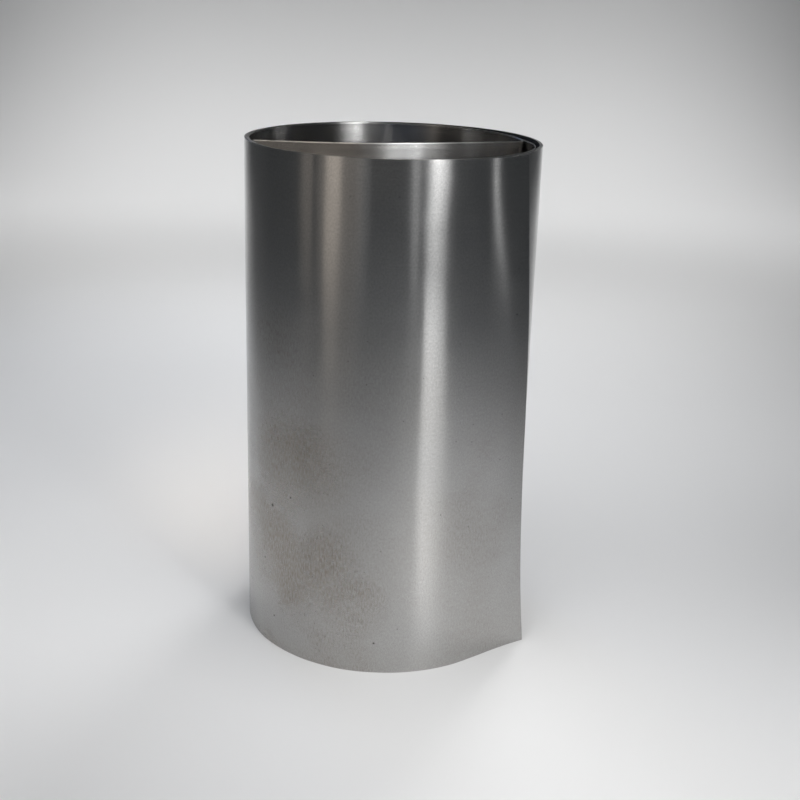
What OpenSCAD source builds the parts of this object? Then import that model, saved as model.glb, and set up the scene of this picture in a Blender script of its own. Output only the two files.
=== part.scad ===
// Coil of bright steel strip standing on its end, tight outer turns with the inner end across the bore.
// Millimetres. Origin on the outer turns' axis at the floor, Z up along the axis, front towards -Y.

/* [Strip] */
// Width of the strip, which is the height of the coil
strip_width = 305; // [150:5:450]
// Thickness of the strip
strip_thickness = 0.4; // [0.3:0.05:0.8]
// Air left between two turns, seen as a groove on the ends
turn_gap = 0.2; // [0.1:0.05:0.4]
// Depth of the groove between two turns on the ends
end_groove_depth = 3; // [1:0.5:8]

/* [Coil] */
// Diameter over the tight outer turns
outer_diameter = 175; // [150:1:260]
// Number of tight outer turns
outer_turns = 5; // [3:1:8]

/* [Inner end across the bore] */
// Direction of the free inner edge, counter-clockwise from +X
inner_end_azimuth = -164; // [-175:1:-150]
// Gap between the free inner edge and the wall
inner_end_gap = 2; // [1:0.5:6]
// How far the inner end bows towards the front
inner_end_bow = 13; // [6:0.5:20]
// Direction of the fold that leads from the wall to the inner end
fold_azimuth = 4; // [0:1:12]
// Gap between the fold and the wall
fold_gap = 11; // [8:0.5:14]
// Radius of the fold
fold_radius = 5; // [3:0.5:7]
// Angle by which the strip turns in the fold
fold_turn = 68; // [66:0.5:70]

/* [Next turn at the fold] */
// Direction where the next turn leaves the wall towards the fold
next_turn_root_azimuth = -22; // [-30:1:-16]
// How far the next turn bows outwards
next_turn_bow = 3.4; // [2.6:0.2:4]

/* [Loose outer end] */
// Direction where the loose end starts to leave the coil
tail_root_azimuth = -64; // [-80:1:-55]
// Direction of the free edge's top corner
tail_top_azimuth = -35; // [-40:1:-30]
// Direction of the free edge's bottom corner
tail_bottom_azimuth = -26; // [-30:1:-20]
// How far the free edge's bottom corner stands off the coil
tail_flare = 12.6; // [6:0.2:18]

/* [Hidden] */
$fn = 128;

outer_radius = outer_diameter / 2;
turn_pitch = strip_thickness + turn_gap;
outer_wall = outer_turns * turn_pitch - turn_gap;
bore_radius = outer_radius - outer_wall;
cut_overrun = 1;

// Shares of the strip's thickness by which the turns press into each other where they touch
contact_share = 0.75;
root_share = 0.25;
touch_share = 0.25;
// Angle after the fold at which the next turn touches the innermost one
touch_turn = 2;
// Steps in the profile of the inner end, in its fold and in the innermost turn
inner_end_steps = 24;
fold_steps = 8;
inner_turn_steps = 48;

function polar(radius, azimuth) = [radius * cos(azimuth), radius * sin(azimuth)];

// Sheets that bow to the right of their heading, from one plan point to another
function heading(start, finish) = atan2(finish[1] - start[1], finish[0] - start[0]);
function bow_radius(start, finish, bow) = pow(norm(finish - start), 2) / (8 * bow) + bow / 2;
function half_sweep(start, finish, bow) = asin(norm(finish - start) / (2 * bow_radius(start, finish, bow)));
function bow_centre(start, finish, bow) =
    (start + finish) / 2 + polar(bow_radius(start, finish, bow) - bow, heading(start, finish) + 90);

// The inner end runs from its free edge to the fold
inner_edge = polar(bore_radius - inner_end_gap, inner_end_azimuth);
fold_start = polar(bore_radius - fold_gap, fold_azimuth);
inner_end_sweep = 2 * half_sweep(inner_edge, fold_start, inner_end_bow);
fold_heading = heading(inner_edge, fold_start) + inner_end_sweep / 2;
fold_centre = fold_start + polar(fold_radius, fold_heading + 90);
fold_end = fold_centre + polar(fold_radius, fold_heading + fold_turn - 90);

// The innermost turn leaves the fold along its heading and runs into the wall, touching it from inside
turn_heading = fold_heading + fold_turn;
turn_normal = polar(1, turn_heading + 90);
contact_radius = bore_radius + strip_thickness * contact_share - strip_thickness / 2;
inner_turn_radius = (pow(contact_radius, 2) - fold_end * fold_end)
    / (2 * (fold_end * turn_normal + contact_radius));
inner_turn_centre = fold_end + turn_normal * inner_turn_radius;
inner_turn_start = turn_heading - 90;
contact_azimuth = atan2(inner_turn_centre[1], inner_turn_centre[0]);
inner_turn_sweep = (contact_azimuth - inner_turn_start + 720) % 360;

// The next turn leaves the wall and touches the innermost turn just past the fold
next_turn_start = polar(bore_radius + strip_thickness * root_share, next_turn_root_azimuth);
next_turn_end = inner_turn_centre
    + polar(inner_turn_radius + strip_thickness * touch_share, inner_turn_start + touch_turn);

// The loose outer end is sunk into the outer turns at its root by its thickness and half of that again
tail_columns = 16;
tail_rows = 16;
tail_bottom_power = 3.4;
tail_upper_power = 2.2;
tail_power_share = 0.3;
tail_sink_share = 1.5;
tail_sink = strip_thickness * tail_sink_share;
// Stand-off of the free edge from floor to top, as shares of the bottom corner's
tail_flare_shares = [[0, 1], [0.12, 0.78], [0.3, 0.64], [0.66, 0.6], [0.76, 0.44], [1, 0.27]];

steel_colour = [0.72, 0.73, 0.74];

// Turned roll with its bore, its turns shown by grooves on both ends
module turned_turns(roll_radius, turns) {
    wall = turns * turn_pitch - turn_gap;
    rotate_extrude()
        difference() {
            translate([roll_radius - wall, 0])
                square([wall, strip_width]);
            if (turns > 1)
                for (turn = [1 : turns - 1])
                    for (end_base = [-cut_overrun, strip_width - end_groove_depth])
                        translate([roll_radius - turn * turn_pitch, end_base])
                            square([turn_gap, end_groove_depth + cut_overrun]);
        }
}

// Upright sheet of strip that bows to the right of its heading, part of a turned tube
module bowed_sheet(start, finish, bow) {
    sweep = 2 * half_sweep(start, finish, bow);
    translate(bow_centre(start, finish, bow))
        rotate([0, 0, heading(start, finish) - 90 - sweep / 2])
            rotate_extrude(angle = sweep)
                translate([bow_radius(start, finish, bow) - strip_thickness / 2, 0])
                    square([strip_thickness, strip_width]);
}

// Points along part of a circle, from the first step to the last
function arc_points(centre, radius, start_angle, sweep, first, steps) =
    [for (step = [first : steps]) centre + polar(radius, start_angle + sweep * step / steps)];

// One side of the inner end in plan, an offset outwards from its middle line
function inner_end_side(offset) = concat(
    arc_points(bow_centre(inner_edge, fold_start, inner_end_bow),
        bow_radius(inner_edge, fold_start, inner_end_bow) + offset,
        fold_heading - 90 - inner_end_sweep, inner_end_sweep, 0, inner_end_steps),
    arc_points(fold_centre, fold_radius + offset, fold_heading - 90, fold_turn, 1, fold_steps),
    arc_points(inner_turn_centre, inner_turn_radius + offset, inner_turn_start, inner_turn_sweep,
        1, inner_turn_steps));

function reversed(points) = [for (count = [len(points) - 1 : -1 : 0]) points[count]];

// Free end, fold and innermost turn up to where it lies on the wall
module inner_end() {
    linear_extrude(height = strip_width)
        polygon(concat(inner_end_side(strip_thickness / 2), reversed(inner_end_side(-strip_thickness / 2))));
}

// Points of the loose end's sheet, column from root to free edge, row from floor to top
function tail_azimuth(column, row) =
    let (edge = tail_bottom_azimuth + (tail_top_azimuth - tail_bottom_azimuth) * row / tail_rows)
    tail_root_azimuth + (edge - tail_root_azimuth) * column / tail_columns;

function tail_power(row) =
    lookup(row / tail_rows, [[0, tail_bottom_power], [tail_power_share, tail_upper_power]]);

function tail_rise(column, row) =
    tail_flare * lookup(row / tail_rows, tail_flare_shares) * pow(column / tail_columns, tail_power(row));

function tail_point(column, row, depth) =
    let (radius = outer_radius - tail_sink + tail_rise(column, row) + depth)
    let (azimuth = tail_azimuth(column, row))
    [radius * cos(azimuth), radius * sin(azimuth), strip_width * row / tail_rows];

function tail_index(column, row, side) =
    side * (tail_columns + 1) * (tail_rows + 1) + row * (tail_columns + 1) + column;

// A four-cornered patch as two triangles, turned over where the flag is set
function patch(a, b, c, d, turned) =
    turned ? [[a, c, b], [a, d, c]] : [[a, b, c], [a, c, d]];

module loose_end() {
    tail_points = [
        for (side = [0, 1])
            for (row = [0 : tail_rows])
                for (column = [0 : tail_columns])
                    tail_point(column, row, side * strip_thickness)
    ];
    side_faces = [
        for (side = [0, 1])
            for (row = [0 : tail_rows - 1])
                for (column = [0 : tail_columns - 1])
                    for (face = patch(
                        tail_index(column, row, side), tail_index(column + 1, row, side),
                        tail_index(column + 1, row + 1, side), tail_index(column, row + 1, side), side == 1))
                        face
    ];
    upright_edge_faces = [
        for (column = [0, tail_columns])
            for (row = [0 : tail_rows - 1])
                for (face = patch(
                    tail_index(column, row, 0), tail_index(column, row + 1, 0),
                    tail_index(column, row + 1, 1), tail_index(column, row, 1), column == tail_columns))
                    face
    ];
    level_edge_faces = [
        for (row = [0, tail_rows])
            for (column = [0 : tail_columns - 1])
                for (face = patch(
                    tail_index(column, row, 0), tail_index(column, row, 1),
                    tail_index(column + 1, row, 1), tail_index(column + 1, row, 0), row == tail_rows))
                    face
    ];
    polyhedron(points = tail_points, faces = concat(side_faces, upright_edge_faces, level_edge_faces));
}

module strip_coil() {
    color(steel_colour)
        union() {
            turned_turns(outer_radius, outer_turns);
            inner_end();
            bowed_sheet(next_turn_start, next_turn_end, next_turn_bow);
            loose_end();
        }
}

strip_coil();
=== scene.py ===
"""Coil of bright steel strip standing on its end, wound from its inner end to its loose outer end."""

import math

import bpy
import numpy as np
from mathutils import Matrix, Vector


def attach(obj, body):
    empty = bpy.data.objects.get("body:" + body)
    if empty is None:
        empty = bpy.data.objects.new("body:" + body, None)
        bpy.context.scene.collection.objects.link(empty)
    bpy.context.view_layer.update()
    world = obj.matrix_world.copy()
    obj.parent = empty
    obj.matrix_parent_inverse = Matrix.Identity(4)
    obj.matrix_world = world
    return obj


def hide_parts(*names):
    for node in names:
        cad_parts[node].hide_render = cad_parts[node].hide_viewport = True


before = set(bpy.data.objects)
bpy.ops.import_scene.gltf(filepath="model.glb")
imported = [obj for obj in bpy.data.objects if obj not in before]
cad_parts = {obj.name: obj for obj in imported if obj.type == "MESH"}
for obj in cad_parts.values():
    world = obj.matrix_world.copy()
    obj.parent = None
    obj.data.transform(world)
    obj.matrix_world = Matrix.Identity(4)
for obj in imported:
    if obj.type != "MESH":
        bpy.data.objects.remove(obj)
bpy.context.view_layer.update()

MM = 0.001
FULL_TURN = 360.0
STRIP_WIDTH = 305 * MM
STRIP_THICKNESS = 0.4 * MM

# Inner end in plan, from its free edge at the left to the fold at the right, in millimetres
INNER_END_X = (-79.8, -63.3, -47.7, -32.9, -18.7, -1.1, 17.8, 35.2, 46.0, 58.0, 66.0, 73.5)
INNER_END_Y = (-24.0, -24.9, -25.7, -25.7, -24.6, -21.3, -16.1, -10.3, -6.3, -1.6, 1.6, 4.7)
FOLD_RADIUS = 5.0 * MM
FOLD_END_HEADING = 97.3
# Short waves along the inner end: height and length in millimetres, start in radians
INNER_END_WAVES = ((0.12, 41.0, 0.9), (0.04, 18.0, 0.0))
# Distance from the fold within which they die out, in millimetres
INNER_END_CALM = 30.0

# Stations along the winding, in degrees of turning, and the strip's middle line there
WALL_START = 182.0
DIP_TURNS = (330.0, 341.0, 350.5, 359.5, 366.0)
DIP_RADII = (84.86, 84.3, 82.6, 80.7, 78.5)
REJOIN_TURN = 371.0
SECOND_WALL_START = 542.0
TAIL_ROOT = 2096.0
OUTER_END = 2130.0
WALL_FIRST_RADIUS = 84.7 * MM
WALL_LAST_RADIUS = 87.3 * MM

# Loose outer end: where its free edge stands and how far it has sprung off the coil
TAIL_BOTTOM_TURN = -26.0 + 6 * FULL_TURN
TAIL_TOP_TURN = -35.0 + 6 * FULL_TURN
TAIL_FLARE = 12.4 * MM
TAIL_HEIGHT_SHARES = (0.0, 0.12, 0.3, 0.55, 0.72, 0.86, 1.0)
TAIL_FLARE_SHARES = (1.0, 0.78, 0.64, 0.61, 0.54, 0.41, 0.27)
TAIL_POWER_BOTTOM = 3.4
TAIL_POWER_TOP = 2.1

# Waves of the wound sheet: height in millimetres, count round the coil, radians up it, start in radians
SHEET_WAVES = (
    (0.20, 3, 4.1, 0.6),
    (0.12, 5, -7.3, 2.1),
    (0.10, 8, 11.0, 4.0),
    (0.05, 17, -3.0, 1.1),
    (0.025, 29, 5.0, 0.3),
)
# Turning past the fold over which they grow to their height, in degrees
SHEET_CALM_TURN = 40.0
# Drift of the upper edge: height in millimetres, radians per metre of strip, start in radians
EDGE_WAVES = ((0.13, 9.7, 1.0), (0.08, 22.0, 0.0))
# Length before the outer end over which the drift dies out, in metres
EDGE_CALM = 0.4

COLUMNS_PER_TURN = 180
INNER_END_COLUMNS = 80
FOLD_COLUMNS = 18
ROWS = 25
# Angle between two faces above which the edge between them stays sharp, in degrees
SHARP_ANGLE = 40.0

# Flat map of the strip, in metres along it and up it, with the cut edges clear above its faces
FLAT_MAP = "strip_map"
EDGE_MAP_START = 0.4
EDGE_MAP_SLACK = 0.01

# Patterns on the flat map: how closely they repeat along the strip and up it, and where they start
ROLLING_STRETCH = (5.0, 1100.0, 1.0)
MOTTLE_STRETCH = (1000.0, 700.0, 1.0)
STROKE_STRETCH = (1200.0, 280.0, 1.0)
CLOUD_SCALE = 55.0
CLOUD_START = (2.0, 0.4, 0.0)
PATCH_SCALE = 20.0
PATCH_DETAIL = 6.0
REGION_SCALE = 8.0
REGION_DETAIL = 2.0
REGION_START = (5.3, 1.7, 0.0)

# Steel in the hollows and on the heights of its mottle, painted shade that darkens it towards the bottom
# left, its dirt, and its dark marks with painted shade on its cut edges
STEEL_DARK = (0.42, 0.418, 0.414)
STEEL_LIGHT = (0.72, 0.717, 0.71)
# Painted shade that darkens the steel towards the bottom left
PAINTED_SHADE_COLOUR = (0.26, 0.254, 0.246)
DIRT_COLOUR = (0.24, 0.198, 0.15)
# Specks and pits, and painted shade on the cut edges for the gaps between the turns
MARK_AND_SHADE_COLOUR = (0.06, 0.055, 0.05)

# Roughness of the steel, and what each pattern adds to it
BASE_ROUGHNESS = 0.13
ROLLING_ROUGHNESS = 0.06
CLOUD_ROUGHNESS = 0.06
SHADE_AND_DIRT_ROUGHNESS = 0.12
WORN_ROUGHNESS = 0.1
# Highlights are drawn out across the rolling lines, a quarter turn from the strip's length
ANISOTROPY = 0.7
ANISOTROPY_TURN_SHARE = 0.25
# Fine relief: how strongly it tilts the surface, and its depth
ROLLING_RELIEF_SHARE = 0.05
ROLLING_DEPTH = 0.2 * MM
MOTTLE_RELIEF_SHARE = 1.0
MOTTLE_DEPTH = 0.005 * MM

# Fades of the dirt, and by height and side also of the painted shade, each with a value and a share at its
# start and at its end
PATCH_SHARES = ((0.34, 0.08), (0.64, 1.0))
REGION_SHARES = ((0.34, 0.3), (0.62, 1.0))
STROKE_SHARES = ((0.36, 0.0), (0.68, 1.0))
# Fade by height in metres, and by side on a scale from left to right with the coil's axis in its middle
HEIGHT_SHARES = ((0.11, 1.0), (0.25, 0.12))
SIDE_SHARES = ((0.15, 1.0), (0.6, 0.65))
SIDE_SCALE = 5.5
SIDE_MIDDLE = 0.5
# Share of the painted shade at the bottom left
PAINTED_SHADE_SHARE = 0.5
SCATTERED_SHARE = 0.7
STROKE_DIRT_SHARE = 0.65
LEAST_DIRT_SHARE = 0.3
# Stains on the outer turn: middle, reach in metres and share
STAINS = (
    ((-0.020, -0.085, 0.043), 0.034, 0.9),
    ((-0.036, -0.080, 0.068), 0.040, 0.7),
    ((-0.058, -0.066, 0.125), 0.055, 0.8),
    ((-0.070, -0.052, 0.060), 0.050, 0.5),
    ((-0.066, -0.057, 0.180), 0.060, 0.6),
)
# Part of a stain's reach that is even, and how far the patches break it up
STAIN_CORE_SHARE = 0.15
STAIN_PATCH_SHARE = 0.6

# Rim of the faces that is worn, the length from the inner end over which it is, and how dark the painted
# shade on the cut edges is
WORN_EDGE = 0.5 * MM
WORN_LENGTH = 1.0
CUT_EDGE_SHADE_SHARE = 0.88
# Dark specks: cells per metre and radius in cells
SPECKS = ((38.0, 0.024), (95.0, 0.03))
# Where a speck's edge starts and ends, by its radius, and the random value above which a cell has one
SPECK_CORE_SHARE = 0.6
SPECK_RIM_SHARE = 1.2
SPECK_CHANCE_SHARE = 0.93
# How dark specks are, as a fade by height in metres
SPECK_SHARES = ((0.17, 0.9), (0.26, 0.25))
# Dark pits on the outer turn: middle and reach in metres
PITS = (
    ((-0.0665, -0.0568, 0.0940), 0.0016),
    ((-0.0548, -0.0682, 0.1040), 0.0010),
    ((-0.0040, -0.0874, 0.0196), 0.0010),
    ((-0.0720, -0.0497, 0.0560), 0.0009),
    ((0.0330, -0.0810, 0.1010), 0.0008),
)
PIT_SHARE = 0.95

# Camera fitted to the photograph: metres, degrees, and millimetres for its lens and sensor
CAMERA_DISTANCE = 0.7455
CAMERA_HEIGHT = 0.3979
CAMERA_PITCH = 18.868
CAMERA_ROLL = 1.779
CAMERA_YAW = 0.631
CAMERA_LENS = 56.386
CAMERA_SENSOR = 36.0

# Studio: floor and upright backdrop with a bend between them, and the even light all round
FLOOR_FRONT = -5.0
BEND_START = 1.5
BEND_RADIUS = 0.9
BEND_POINTS = 24
BACKDROP_TOP = 4.0
STUDIO_HALF_WIDTH = 6.0
FLOOR_COLOUR = (0.86, 0.86, 0.86, 1.0)
FLOOR_ROUGHNESS = 0.9
FLOOR_SPECULAR = 0.1
ROOM_COLOUR = (0.9, 0.95, 1.0, 1.0)
ROOM_STRENGTH = 0.06

# Colours of the lamps
WHITE = (1.0, 1.0, 1.0)
WARM = (1.0, 0.88, 0.76)
COOL = (0.45, 0.62, 1.0)


def smoothstep(share):
    """Three times the share squared less twice its cube, held between 0 and 1."""
    held = np.clip(share, 0.0, 1.0)
    return held * held * (3.0 - 2.0 * held)


def smooth_curve(at, knots, values):
    """Cubic through each knot, whose slope at a knot is the mean of the slopes on its two sides, where the
    shorter side counts for more."""
    knots = np.asarray(knots, float)
    values = np.asarray(values, float)
    slopes = np.gradient(values, knots)
    cell = np.clip(np.searchsorted(knots, at, side="right") - 1, 0, len(knots) - 2)
    span = knots[cell + 1] - knots[cell]
    way = (at - knots[cell]) / span
    start_weight = 2 * way ** 3 - 3 * way ** 2 + 1
    start_slope_weight = way ** 3 - 2 * way ** 2 + way
    end_weight = 3 * way ** 2 - 2 * way ** 3
    end_slope_weight = way ** 3 - way ** 2
    return (start_weight * values[cell] + start_slope_weight * span * slopes[cell]
            + end_weight * values[cell + 1] + end_slope_weight * span * slopes[cell + 1])


def inner_end_waves(x):
    """Sum of the short waves along the inner end, in millimetres, which die out towards the fold."""
    waves = sum(height * np.sin(2 * math.pi * x / length + start)
                for height, length, start in INNER_END_WAVES)
    return waves * smoothstep((INNER_END_X[-1] - x) / INNER_END_CALM)


def inner_end_line():
    """Smooth curve through the inner end's points with its short waves, then a small circle that turns it
    left into the fold."""
    x = np.linspace(INNER_END_X[0], INNER_END_X[-1], INNER_END_COLUMNS)
    y = smooth_curve(x, INNER_END_X, INNER_END_Y) + inner_end_waves(x)
    sheet = np.stack([x, y], axis=1) * MM
    run = sheet[-1] - sheet[-2]
    heading = math.atan2(run[1], run[0])
    turn = np.linspace(heading, math.radians(FOLD_END_HEADING), FOLD_COLUMNS)[1:]
    fold_x = sheet[-1][0] + FOLD_RADIUS * (np.sin(turn) - math.sin(heading))
    fold_y = sheet[-1][1] + FOLD_RADIUS * (math.cos(heading) - np.cos(turn))
    return np.concatenate([sheet, np.stack([fold_x, fold_y], axis=1)])


def loose_turn_circle(fold_end):
    """Circle that leaves the fold along its heading and touches the wall's first turn from inside."""
    heading = math.radians(FOLD_END_HEADING)
    normal = np.array([-math.sin(heading), math.cos(heading)])
    radius = ((WALL_FIRST_RADIUS ** 2 - fold_end @ fold_end)
              / (2 * (fold_end @ normal + WALL_FIRST_RADIUS)))
    return fold_end + normal * radius, radius


def winding_radius(turned, fold_end):
    """Loose turn as a circle off the axis, wall with straight growth, and the next turn's dip to the fold,
    after which it runs round outside the loose turn at the wall's pitch."""
    centre, circle_radius = loose_turn_circle(fold_end)
    azimuth = np.radians(turned)
    along = centre[0] * np.cos(azimuth) + centre[1] * np.sin(azimuth)
    loose = along + np.sqrt(circle_radius ** 2 - centre @ centre + along ** 2)
    growth = (WALL_LAST_RADIUS - WALL_FIRST_RADIUS) / (OUTER_END - WALL_START)
    wall = WALL_FIRST_RADIUS + growth * (turned - WALL_START)
    nested = loose + growth * FULL_TURN
    rejoin = np.interp(REJOIN_TURN, turned, nested)
    dip = smooth_curve(turned, DIP_TURNS + (REJOIN_TURN,), DIP_RADII + (rejoin / MM,)) * MM
    on_loose = turned < WALL_START
    on_dip = (turned > DIP_TURNS[0]) & (turned < REJOIN_TURN)
    on_nested = (turned >= REJOIN_TURN) & (turned < SECOND_WALL_START)
    return np.select([on_loose, on_dip, on_nested], [loose, dip, nested], wall)


def sheet_waves(azimuth, height_share):
    """Sum of slow and short waves round the coil and up it, the same in every turn, so the turns nest."""
    waves = sum(height * np.sin(count * azimuth + climb * height_share + start)
                for height, count, climb, start in SHEET_WAVES)
    return waves * MM


def edge_wander(length):
    """Up and down drift of the strip's upper edge along the strip, as a sum of slow waves."""
    return sum(height * np.sin(rate * length + start) for height, rate, start in EDGE_WAVES) * MM


def wound_points(turned, height_share, fold_end):
    """Middle of the strip in the wound part: radius by angle plus the waves, and in the loose outer end a
    rise that grows as a power of the way to the free edge."""
    edge_turn = TAIL_BOTTOM_TURN + (TAIL_TOP_TURN - TAIL_BOTTOM_TURN) * height_share
    way = np.clip((turned - TAIL_ROOT) / (OUTER_END - TAIL_ROOT), 0.0, 1.0)
    real_turn = np.where(turned > TAIL_ROOT, TAIL_ROOT + (edge_turn - TAIL_ROOT) * way, turned)
    azimuth = np.radians(real_turn)
    flare = TAIL_FLARE * smooth_curve(height_share, TAIL_HEIGHT_SHARES, TAIL_FLARE_SHARES)
    power = TAIL_POWER_BOTTOM + (TAIL_POWER_TOP - TAIL_POWER_BOTTOM) * smoothstep(2 * height_share)
    settled = smoothstep((turned - turned[0, 0]) / SHEET_CALM_TURN)
    radius = winding_radius(turned[0], fold_end)[None, :] + flare * way ** power
    radius = radius + sheet_waves(azimuth, height_share) * settled
    return radius * np.cos(azimuth), radius * np.sin(azimuth)


def grid_quads(first, columns, rows, turned_over):
    """Corner numbers of each cell of a grid whose points are numbered row by row from the first."""
    corner = first + np.arange(columns - 1)[None, :] + columns * np.arange(rows - 1)[:, None]
    corner = corner.reshape(-1)
    quads = np.stack([corner, corner + 1, corner + columns + 1, corner + columns], axis=1)
    return quads[:, ::-1] if turned_over else quads


def ribbon_quads(side_a, side_b):
    """Cells between two rows of point numbers of equal length."""
    return np.stack([side_a[:-1], side_a[1:], side_b[1:], side_b[:-1]], axis=1)


def mesh_piece(name, points, quads, corner_uv):
    """Puts arrays of points, smooth four-cornered faces and their corners' flat map into a new object."""
    mesh = bpy.data.meshes.new(name)
    mesh.vertices.add(len(points))
    mesh.vertices.foreach_set("co", points.astype(np.float32).ravel())
    mesh.loops.add(quads.size)
    mesh.loops.foreach_set("vertex_index", quads.astype(np.int32).ravel())
    mesh.polygons.add(len(quads))
    mesh.polygons.foreach_set("loop_start", np.arange(0, quads.size, 4, dtype=np.int32))
    mesh.update(calc_edges=True)
    layer = mesh.uv_layers.new(name=FLAT_MAP)
    layer.data.foreach_set("uv", corner_uv.astype(np.float32).ravel())
    mesh.validate()
    mesh.polygons.foreach_set("use_smooth", np.ones(len(mesh.polygons), dtype=bool))
    piece = bpy.data.objects.new(name, mesh)
    bpy.context.scene.collection.objects.link(piece)
    return piece


def strip_plan():
    """Middle of the strip in plan and the share of its width, as grids up the strip and along it: the inner
    end, which is the same at each height, and then the wound part."""
    inner_line = inner_end_line()
    fold_end = inner_line[-1]
    start = math.degrees(math.atan2(fold_end[1], fold_end[0]))
    wound_columns = int(round((OUTER_END - start) / FULL_TURN * COLUMNS_PER_TURN))
    turned = np.linspace(start, OUTER_END, wound_columns)[None, :]
    height_share = np.linspace(0.0, 1.0, ROWS)[:, None]
    wound_x, wound_y = wound_points(*np.broadcast_arrays(turned, height_share), fold_end)
    inner_x = np.broadcast_to(inner_line[:-1, 0], (ROWS, len(inner_line) - 1))
    inner_y = np.broadcast_to(inner_line[:-1, 1], (ROWS, len(inner_line) - 1))
    x = np.concatenate([inner_x, wound_x], axis=1)
    y = np.concatenate([inner_y, wound_y], axis=1)
    return x, y, np.broadcast_to(height_share, x.shape)


def strip_length(x, y):
    """Distance of each column from the inner end, added up along the middle row."""
    steps = np.hypot(np.diff(x[ROWS // 2]), np.diff(y[ROWS // 2]))
    return np.concatenate([[0.0], np.cumsum(steps)])


def strip_points(x, y, height_share, length):
    """Points of the outer face and then of the inner one, half the thickness to each side of the middle.
    The upper half takes up the drift of the upper edge."""
    run_x = np.gradient(x, axis=1)
    run_y = np.gradient(y, axis=1)
    run = np.hypot(run_x, run_y)
    held = smoothstep((length[-1] - length) / EDGE_CALM)
    drift = (edge_wander(length) * held)[None, :] * smoothstep(2 * height_share - 1)
    z = STRIP_WIDTH * height_share + drift
    faces = []
    for half in (STRIP_THICKNESS / 2, -STRIP_THICKNESS / 2):
        face = np.stack([x + half * run_y / run, y - half * run_x / run, z], axis=-1)
        faces.append(face.reshape(-1, 3))
    return np.concatenate(faces)


def strip_quads(columns):
    """Cells of the two faces, and of the ribbons that join them along the bottom, the top and both ends."""
    count = columns * ROWS
    number = np.arange(count).reshape(ROWS, columns)
    faces = [grid_quads(0, columns, ROWS, False), grid_quads(count, columns, ROWS, True)]
    rims = (number[0][::-1], number[-1], number[:, 0], number[::-1, -1])
    ribbons = [ribbon_quads(rim, rim + count) for rim in rims]
    return np.concatenate(faces), np.concatenate(ribbons)


def strip_maps(length, height_share):
    """Each point's place on the flat map: on a face by its length and height, and on a cut edge by its
    length and thickness, above the faces."""
    along = np.broadcast_to(length, height_share.shape)
    face = np.stack([along, height_share * STRIP_WIDTH], axis=-1).reshape(-1, 2)
    both_faces = np.concatenate([face, face])
    edges = both_faces.copy()
    edges[:, 1] = EDGE_MAP_START + STRIP_THICKNESS * (np.arange(len(edges)) >= len(face))
    return both_faces, edges


def wound_strip():
    """The whole strip as one closed sheet, its two faces joined by ribbons at its edges and ends."""
    x, y, height_share = strip_plan()
    length = strip_length(x, y)
    points = strip_points(x, y, height_share, length)
    face_quads, edge_quads = strip_quads(x.shape[1])
    face_map, edge_map = strip_maps(length, height_share)
    quads = np.concatenate([face_quads, edge_quads])
    corner_uv = np.concatenate([face_map[face_quads.ravel()], edge_map[edge_quads.ravel()]])
    piece = mesh_piece("wound_strip", points, quads, corner_uv)
    piece.data.set_sharp_from_angle(angle=math.radians(SHARP_ANGLE))
    return piece


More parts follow.
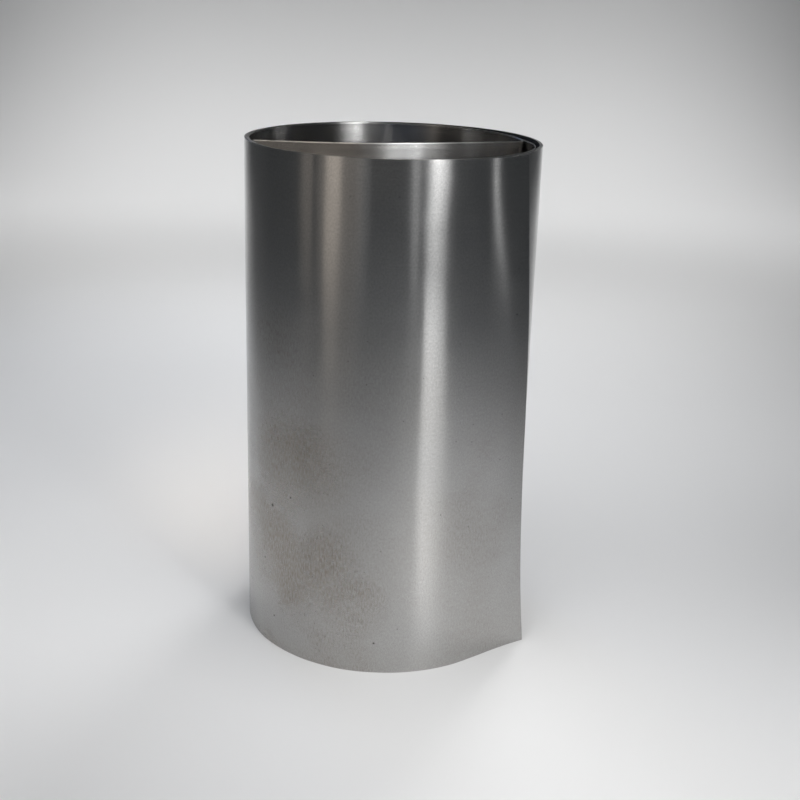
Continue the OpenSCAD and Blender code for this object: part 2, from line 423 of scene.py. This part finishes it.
class Nodes:
    """Short hand for adding and joining shader nodes in one tree."""

    def __init__(self, tree):
        """Starts from an empty tree."""
        self.tree = tree
        tree.nodes.clear()

    def add(self, kind, **settings):
        """A new node of a kind, with its settings."""
        node = self.tree.nodes.new(kind)
        for key, value in settings.items():
            setattr(node, key, value)
        return node

    def join(self, source, target):
        """A link from one node's output to another's input."""
        self.tree.links.new(source, target)

    def math(self, operation, first, second=None):
        """An operation on one value or two; each is a number or a node's output."""
        node = self.add("ShaderNodeMath", operation=operation)
        for socket, value in zip(node.inputs, (first, second)):
            if value is None:
                continue
            if isinstance(value, (int, float)):
                socket.default_value = value
            else:
                self.join(value, socket)
        return node.outputs[0]

    def times(self, first, second):
        """Product of two values."""
        return self.math("MULTIPLY", first, second)

    def plus(self, first, second):
        """Sum of two values."""
        return self.math("ADD", first, second)

    def most(self, first, second):
        """The greater of two values."""
        return self.math("MAXIMUM", first, second)

    def axes(self, vector):
        """The three parts of a vector, as outputs named by axis."""
        node = self.add("ShaderNodeSeparateXYZ")
        self.join(vector, node.inputs["Vector"])
        return node.outputs

    def mix(self, share, first, second):
        """First colour where the share is 0, second where it is 1; each is numbers or a node's output."""
        node = self.add("ShaderNodeMix", data_type="RGBA")
        self.join(share, node.inputs["Factor"])
        for socket, value in ((node.inputs["A"], first), (node.inputs["B"], second)):
            if isinstance(value, tuple):
                socket.default_value = (*value, 1.0)
            else:
                self.join(value, socket)
        return node.outputs["Result"]

    def fade(self, source, start, end):
        """Eases from the start's share to the end's, as the source goes from one's value to the other's."""
        node = self.add("ShaderNodeValToRGB")
        node.color_ramp.interpolation = "EASE"
        for element, (value, share) in zip(node.color_ramp.elements, (start, end)):
            element.position = value
            element.color = (share, share, share, 1.0)
        self.join(source, node.inputs["Fac"])
        return node.outputs["Color"]

    def noise(self, vector, scale=1.0, detail=3.0, stretch=(1.0, 1.0, 1.0), start=(0.0, 0.0, 0.0)):
        """Cloudy noise between 0 and 1, at the vector times its stretch, plus its start, times its scale."""
        mapping = self.add("ShaderNodeMapping")
        mapping.inputs["Scale"].default_value = stretch
        mapping.inputs["Location"].default_value = start
        self.join(vector, mapping.inputs["Vector"])
        node = self.add("ShaderNodeTexNoise")
        node.inputs["Scale"].default_value = scale
        node.inputs["Detail"].default_value = detail
        self.join(mapping.outputs["Vector"], node.inputs["Vector"])
        return node.outputs["Fac"]

    def stain(self, vector, middle, reach, share):
        """A round spot that fades from its share in the middle to nothing at its reach."""
        node = self.add("ShaderNodeVectorMath", operation="DISTANCE")
        self.join(vector, node.inputs[0])
        node.inputs[1].default_value = middle
        way = self.math("DIVIDE", node.outputs["Value"], reach)
        return self.fade(way, (STAIN_CORE_SHARE, share), (1.0, 0.0))

    def specks(self, vector, scale, radius):
        """Dots round the middles of scattered cells, only in those cells whose random value is high."""
        node = self.add("ShaderNodeTexVoronoi", voronoi_dimensions="2D")
        node.inputs["Scale"].default_value = scale
        self.join(vector, node.inputs["Vector"])
        core = (radius * SPECK_CORE_SHARE, 1.0)
        rim = (radius * SPECK_RIM_SHARE, 0.0)
        dot = self.fade(node.outputs["Distance"], core, rim)
        chance = self.add("ShaderNodeSeparateColor")
        self.join(node.outputs["Color"], chance.inputs["Color"])
        return self.times(dot, self.math("GREATER_THAN", chance.outputs["Red"], SPECK_CHANCE_SHARE))

    def bump(self, height, strength, depth):
        """A bump node with a pattern for its height, of a strength and a depth."""
        node = self.add("ShaderNodeBump")
        node.inputs["Strength"].default_value = strength
        node.inputs["Distance"].default_value = depth
        self.join(height, node.inputs["Height"])
        return node


def painted_shade_and_dirt(nodes, uv, place):
    """Shares of the painted shade and of the dirt. The painted shade darkens the steel at the bottom left
    and thins out upwards and to the right. The dirt is patches that thin out likewise, or a stain where that
    is stronger, broken into short upright strokes."""
    axes = nodes.axes(place)
    patches = nodes.fade(nodes.noise(uv, PATCH_SCALE, PATCH_DETAIL), *PATCH_SHARES)
    region = nodes.fade(nodes.noise(uv, REGION_SCALE, REGION_DETAIL, start=REGION_START), *REGION_SHARES)
    low = nodes.fade(axes["Z"], *HEIGHT_SHARES)
    left = nodes.fade(nodes.plus(nodes.times(axes["X"], SIDE_SCALE), SIDE_MIDDLE), *SIDE_SHARES)
    spread = nodes.times(low, left)
    scattered = nodes.times(nodes.times(region, nodes.times(spread, left)), SCATTERED_SHARE)
    dirt = nodes.times(patches, scattered)
    uneven = nodes.plus(nodes.times(patches, STAIN_PATCH_SHARE), 1.0 - STAIN_PATCH_SHARE)
    for middle, reach, share in STAINS:
        dirt = nodes.most(dirt, nodes.times(uneven, nodes.stain(place, middle, reach, share)))
    strokes = nodes.fade(nodes.noise(uv, stretch=STROKE_STRETCH), *STROKE_SHARES)
    broken = nodes.plus(nodes.times(strokes, STROKE_DIRT_SHARE), LEAST_DIRT_SHARE)
    return nodes.times(spread, PAINTED_SHADE_SHARE), nodes.times(dirt, broken)


def worn_rim(nodes, along, across, cut):
    """1 on the faces near the inner end, within the worn edge of the strip's top and bottom, and else 0."""
    from_middle = nodes.math("ABSOLUTE", nodes.math("SUBTRACT", across, STRIP_WIDTH / 2))
    near_edge = nodes.math("GREATER_THAN", from_middle, STRIP_WIDTH / 2 - WORN_EDGE)
    inside = nodes.math("LESS_THAN", along, WORN_LENGTH)
    return nodes.times(nodes.times(near_edge, inside), nodes.math("SUBTRACT", 1.0, cut))


def marks_and_edge_shade(nodes, uv, place, cut):
    """The greatest of the shares of the specks, which are fainter higher up, the pits and the painted shade
    on the cut edges, for the shade in the gaps between the turns.
    """
    coarse, fine = [nodes.specks(uv, scale, radius) for scale, radius in SPECKS]
    marks = nodes.times(nodes.most(coarse, fine), nodes.fade(nodes.axes(place)["Z"], *SPECK_SHARES))
    for middle, reach in PITS:
        marks = nodes.most(marks, nodes.stain(place, middle, reach, PIT_SHARE))
    # Painted shade on the cut edges, standing in for the shade in the gaps between the turns
    return nodes.most(marks, nodes.times(cut, CUT_EDGE_SHADE_SHARE))


def mill_finish_steel():
    """Bright rolled strip: mottled steel, covered by painted shade at its bottom left, its dirt and its dark
    marks in turn, the last being specks, pits and painted shade on the cut edges. Rolling lines, clouds, the
    painted shade, dirt and worn rims add up to its roughness, and lines and mottle are its relief."""
    material = bpy.data.materials.new("mill_finish_steel")
    material.use_nodes = True
    nodes = Nodes(material.node_tree)
    output = nodes.add("ShaderNodeOutputMaterial")
    shader = nodes.add("ShaderNodeBsdfPrincipled")
    nodes.join(shader.outputs["BSDF"], output.inputs["Surface"])
    uv = nodes.add("ShaderNodeUVMap", uv_map=FLAT_MAP).outputs["UV"]
    place = nodes.add("ShaderNodeTexCoord").outputs["Object"]
    strip_axes = nodes.axes(uv)

    rolling = nodes.noise(uv, stretch=ROLLING_STRETCH)
    mottle = nodes.noise(uv, stretch=MOTTLE_STRETCH)
    cloud = nodes.noise(uv, CLOUD_SCALE, start=CLOUD_START)
    painted_shade, dirt = painted_shade_and_dirt(nodes, uv, place)
    cut = nodes.math("GREATER_THAN", strip_axes["Y"], EDGE_MAP_START - EDGE_MAP_SLACK)
    worn = worn_rim(nodes, strip_axes["X"], strip_axes["Y"], cut)

    colour = nodes.mix(mottle, STEEL_DARK, STEEL_LIGHT)
    # Painted shade, darker towards the bottom left
    colour = nodes.mix(painted_shade, colour, PAINTED_SHADE_COLOUR)
    colour = nodes.mix(dirt, colour, DIRT_COLOUR)
    # Specks, pits and painted shade on the cut edges
    colour = nodes.mix(marks_and_edge_shade(nodes, uv, place, cut), colour, MARK_AND_SHADE_COLOUR)
    nodes.join(colour, shader.inputs["Base Color"])
    shader.inputs["Metallic"].default_value = 1.0

    shader.inputs["Anisotropic"].default_value = ANISOTROPY
    shader.inputs["Anisotropic Rotation"].default_value = ANISOTROPY_TURN_SHARE
    tangent = nodes.add("ShaderNodeTangent", direction_type="UV_MAP", uv_map=FLAT_MAP)
    nodes.join(tangent.outputs["Tangent"], shader.inputs["Tangent"])

    roughness = nodes.plus(nodes.times(rolling, ROLLING_ROUGHNESS), BASE_ROUGHNESS)
    roughness = nodes.plus(roughness, nodes.times(cloud, CLOUD_ROUGHNESS))
    roughness = nodes.plus(roughness, nodes.times(nodes.plus(painted_shade, dirt), SHADE_AND_DIRT_ROUGHNESS))
    roughness = nodes.plus(roughness, nodes.times(worn, WORN_ROUGHNESS))
    nodes.join(roughness, shader.inputs["Roughness"])

    lines = nodes.bump(rolling, ROLLING_RELIEF_SHARE, ROLLING_DEPTH)
    peel = nodes.bump(mottle, MOTTLE_RELIEF_SHARE, MOTTLE_DEPTH)
    nodes.join(lines.outputs["Normal"], peel.inputs["Normal"])
    nodes.join(peel.outputs["Normal"], shader.inputs["Normal"])
    return material


def pale_floor_material():
    """Plain pale matt floor."""
    material = bpy.data.materials.new("pale_floor")
    material.use_nodes = True
    shader = material.node_tree.nodes["Principled BSDF"]
    shader.inputs["Base Color"].default_value = FLOOR_COLOUR
    shader.inputs["Roughness"].default_value = FLOOR_ROUGHNESS
    shader.inputs["Specular IOR Level"].default_value = FLOOR_SPECULAR
    return material


def studio_sweep():
    """A profile of flat floor, quarter round and upright wall, carried across the studio's width."""
    bend = np.linspace(0.0, math.pi / 2, BEND_POINTS)
    wall = BEND_START + BEND_RADIUS
    along = np.concatenate([[FLOOR_FRONT], BEND_START + BEND_RADIUS * np.sin(bend), [wall]])
    up = np.concatenate([[0.0], BEND_RADIUS * (1.0 - np.cos(bend)), [BACKDROP_TOP]])
    side = np.array([-STUDIO_HALF_WIDTH, 0.0, STUDIO_HALF_WIDTH])[:, None]
    x, y = np.broadcast_arrays(side, along[None, :])
    z = np.broadcast_to(up[None, :], x.shape)
    points = np.stack([x, y, z], axis=-1).reshape(-1, 3)
    quads = grid_quads(0, len(along), len(side), True)
    piece = mesh_piece("studio_floor", points, quads, points[quads.ravel(), :2])
    piece.data.materials.append(pale_floor_material())
    return piece


def soft_lamp(name, place, target, size, power, spread, colour):
    """A rectangular lamp at a place, facing a target, unseen by the camera, its beam held to a spread."""
    light = bpy.data.lights.new(name, "AREA")
    light.shape = "RECTANGLE"
    light.size, light.size_y = size
    light.energy = power
    light.color = colour
    light.spread = math.radians(spread)
    lamp = bpy.data.objects.new(name, light)
    lamp.location = place
    lamp.rotation_euler = (Vector(target) - Vector(place)).to_track_quat("-Z", "Y").to_euler()
    lamp.visible_camera = False
    bpy.context.scene.collection.objects.link(lamp)


def photo_camera():
    """Camera fitted to the photograph: place, then yaw, pitch and roll turned into its three axes."""
    pitch = math.radians(CAMERA_PITCH)
    roll = math.radians(CAMERA_ROLL)
    yaw = math.radians(CAMERA_YAW)
    ahead = Vector((math.sin(yaw), math.cos(yaw), 0.0))
    right = Vector((math.cos(yaw), -math.sin(yaw), 0.0))
    up = Vector((0.0, 0.0, 1.0))
    look = ahead * math.cos(pitch) - up * math.sin(pitch)
    head = ahead * math.sin(pitch) + up * math.cos(pitch)
    side = right * math.cos(roll) + head * math.sin(roll)
    top = head * math.cos(roll) - right * math.sin(roll)
    data = bpy.data.cameras.new("camera")
    data.lens = CAMERA_LENS
    data.sensor_width = CAMERA_SENSOR
    camera = bpy.data.objects.new("camera", data)
    axes = Matrix((side, top, -look)).transposed().to_4x4()
    camera.matrix_world = Matrix.Translation((0.0, -CAMERA_DISTANCE, CAMERA_HEIGHT)) @ axes
    bpy.context.scene.collection.objects.link(camera)
    bpy.context.scene.camera = camera


def dim_room():
    """Even dim light from all round, so that the dark side of the metal isn't black."""
    world = bpy.data.worlds.new("dim_room")
    world.use_nodes = True
    background = world.node_tree.nodes["Background"]
    background.inputs["Color"].default_value = ROOM_COLOUR
    background.inputs["Strength"].default_value = ROOM_STRENGTH
    bpy.context.scene.world = world


def around(azimuth, distance, height):
    """A place at an angle to the right of the photograph's front, at a distance from the coil's axis."""
    angle = math.radians(azimuth)
    return (distance * math.sin(angle), -distance * math.cos(angle), height)


def on_axis(height):
    """A place on the coil's axis."""
    return (0.0, 0.0, height)


# Lamps: name, place, target, width and height in metres, power in watts, spread in degrees and colour
LAMPS = (
    # Floor and backdrop
    ("backdrop_lamp", (0.0, 1.9, 2.4), (0.0, 1.9, 0.0), (1.8, 2.0), 8.4, 30.0, WHITE),
    ("mid_lamp", (0.0, 0.5, 1.5), (0.0, 0.5, 0.0), (1.0, 0.8), 1.5, 30.0, WHITE),
    ("right_pool", around(62.0, 0.42, 1.0), around(62.0, 0.42, 0.0), (0.2, 0.2), 0.11, 30.0, WHITE),
    ("left_pool", around(-80.0, 0.42, 1.0), around(-80.0, 0.42, 0.0), (0.2, 0.2), 0.09, 30.0, WHITE),
    ("near_lamp", (0.0, -0.18, 0.75), (0.0, -0.18, 0.0), (0.3, 0.3), 0.82, 120.0, WHITE),
    ("front_lamp", (-0.03, -0.34, 0.7), (-0.02, -0.2, 0.0), (0.3, 0.2), 0.13, 50.0, WHITE),
    # Inside of the coil
    ("bore_lamp", (0.25, 0.55, 1.1), on_axis(0.3), (0.3, 0.2), 0.2, 40.0, WHITE),
    ("inner_lamp", (-0.05, -0.13, 0.42), (-0.045, -0.03, 0.295), (0.12, 0.05), 0.09, 40.0, WARM),
    # Bright streaks at the right of the outer turn, and the patch of floor in front of them
    ("window_strip", around(33.0, 0.9, 0.5), on_axis(0.2), (0.27, 1.0), 0.36, 60.0, WHITE),
    ("window_side", around(15.0, 0.9, 0.4), on_axis(0.2), (0.1, 0.8), 0.022, 60.0, WHITE),
    ("low_strip", around(32.0, 0.45, 0.07), on_axis(0.07), (0.13, 0.14), 0.0095, 45.0, WHITE),
    ("foot_strip", around(30.0, 0.26, 0.035), on_axis(0.035), (0.065, 0.07), 0.0025, 40.0, WHITE),
    ("high_strip", around(31.0, 1.0, 0.48), on_axis(0.3), (0.06, 0.14), 0.16, 50.0, WHITE),
    ("patch_lamp", around(27.0, 0.42, 0.6), around(27.0, 0.34, 0.0), (0.14, 0.14), 0.025, 38.0, WHITE),
    # Softer streaks at the left, in the middle and at the far right, and the back of the coil
    ("soft_strip", around(-43.0, 0.9, 0.4), on_axis(0.25), (0.16, 0.7), 0.03, 60.0, WARM),
    ("soft_glow", around(-40.0, 0.9, 0.4), on_axis(0.25), (0.55, 0.7), 0.04, 60.0, WARM),
    ("left_strip", around(-64.0, 0.9, 0.4), on_axis(0.25), (0.15, 0.7), 0.01, 60.0, WARM),
    ("centre_strip", around(-23.0, 0.9, 0.4), on_axis(0.25), (0.13, 0.7), 0.005, 60.0, WHITE),
    ("side_strip", around(72.0, 0.85, 0.2), on_axis(0.25), (0.03, 0.2), 0.0025, 60.0, WHITE),
    ("cool_panel", around(-150.0, 1.2, 0.7), on_axis(0.25), (0.5, 0.5), 0.3, 90.0, COOL),
)

photo_camera()
dim_room()
floor = studio_sweep()

strip = wound_strip()
strip.data.materials.append(mill_finish_steel())
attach(strip, "root")
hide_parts("strip_coil")

for lamp_values in LAMPS:
    soft_lamp(*lamp_values)

bpy.context.scene.view_settings.view_transform = "Standard"
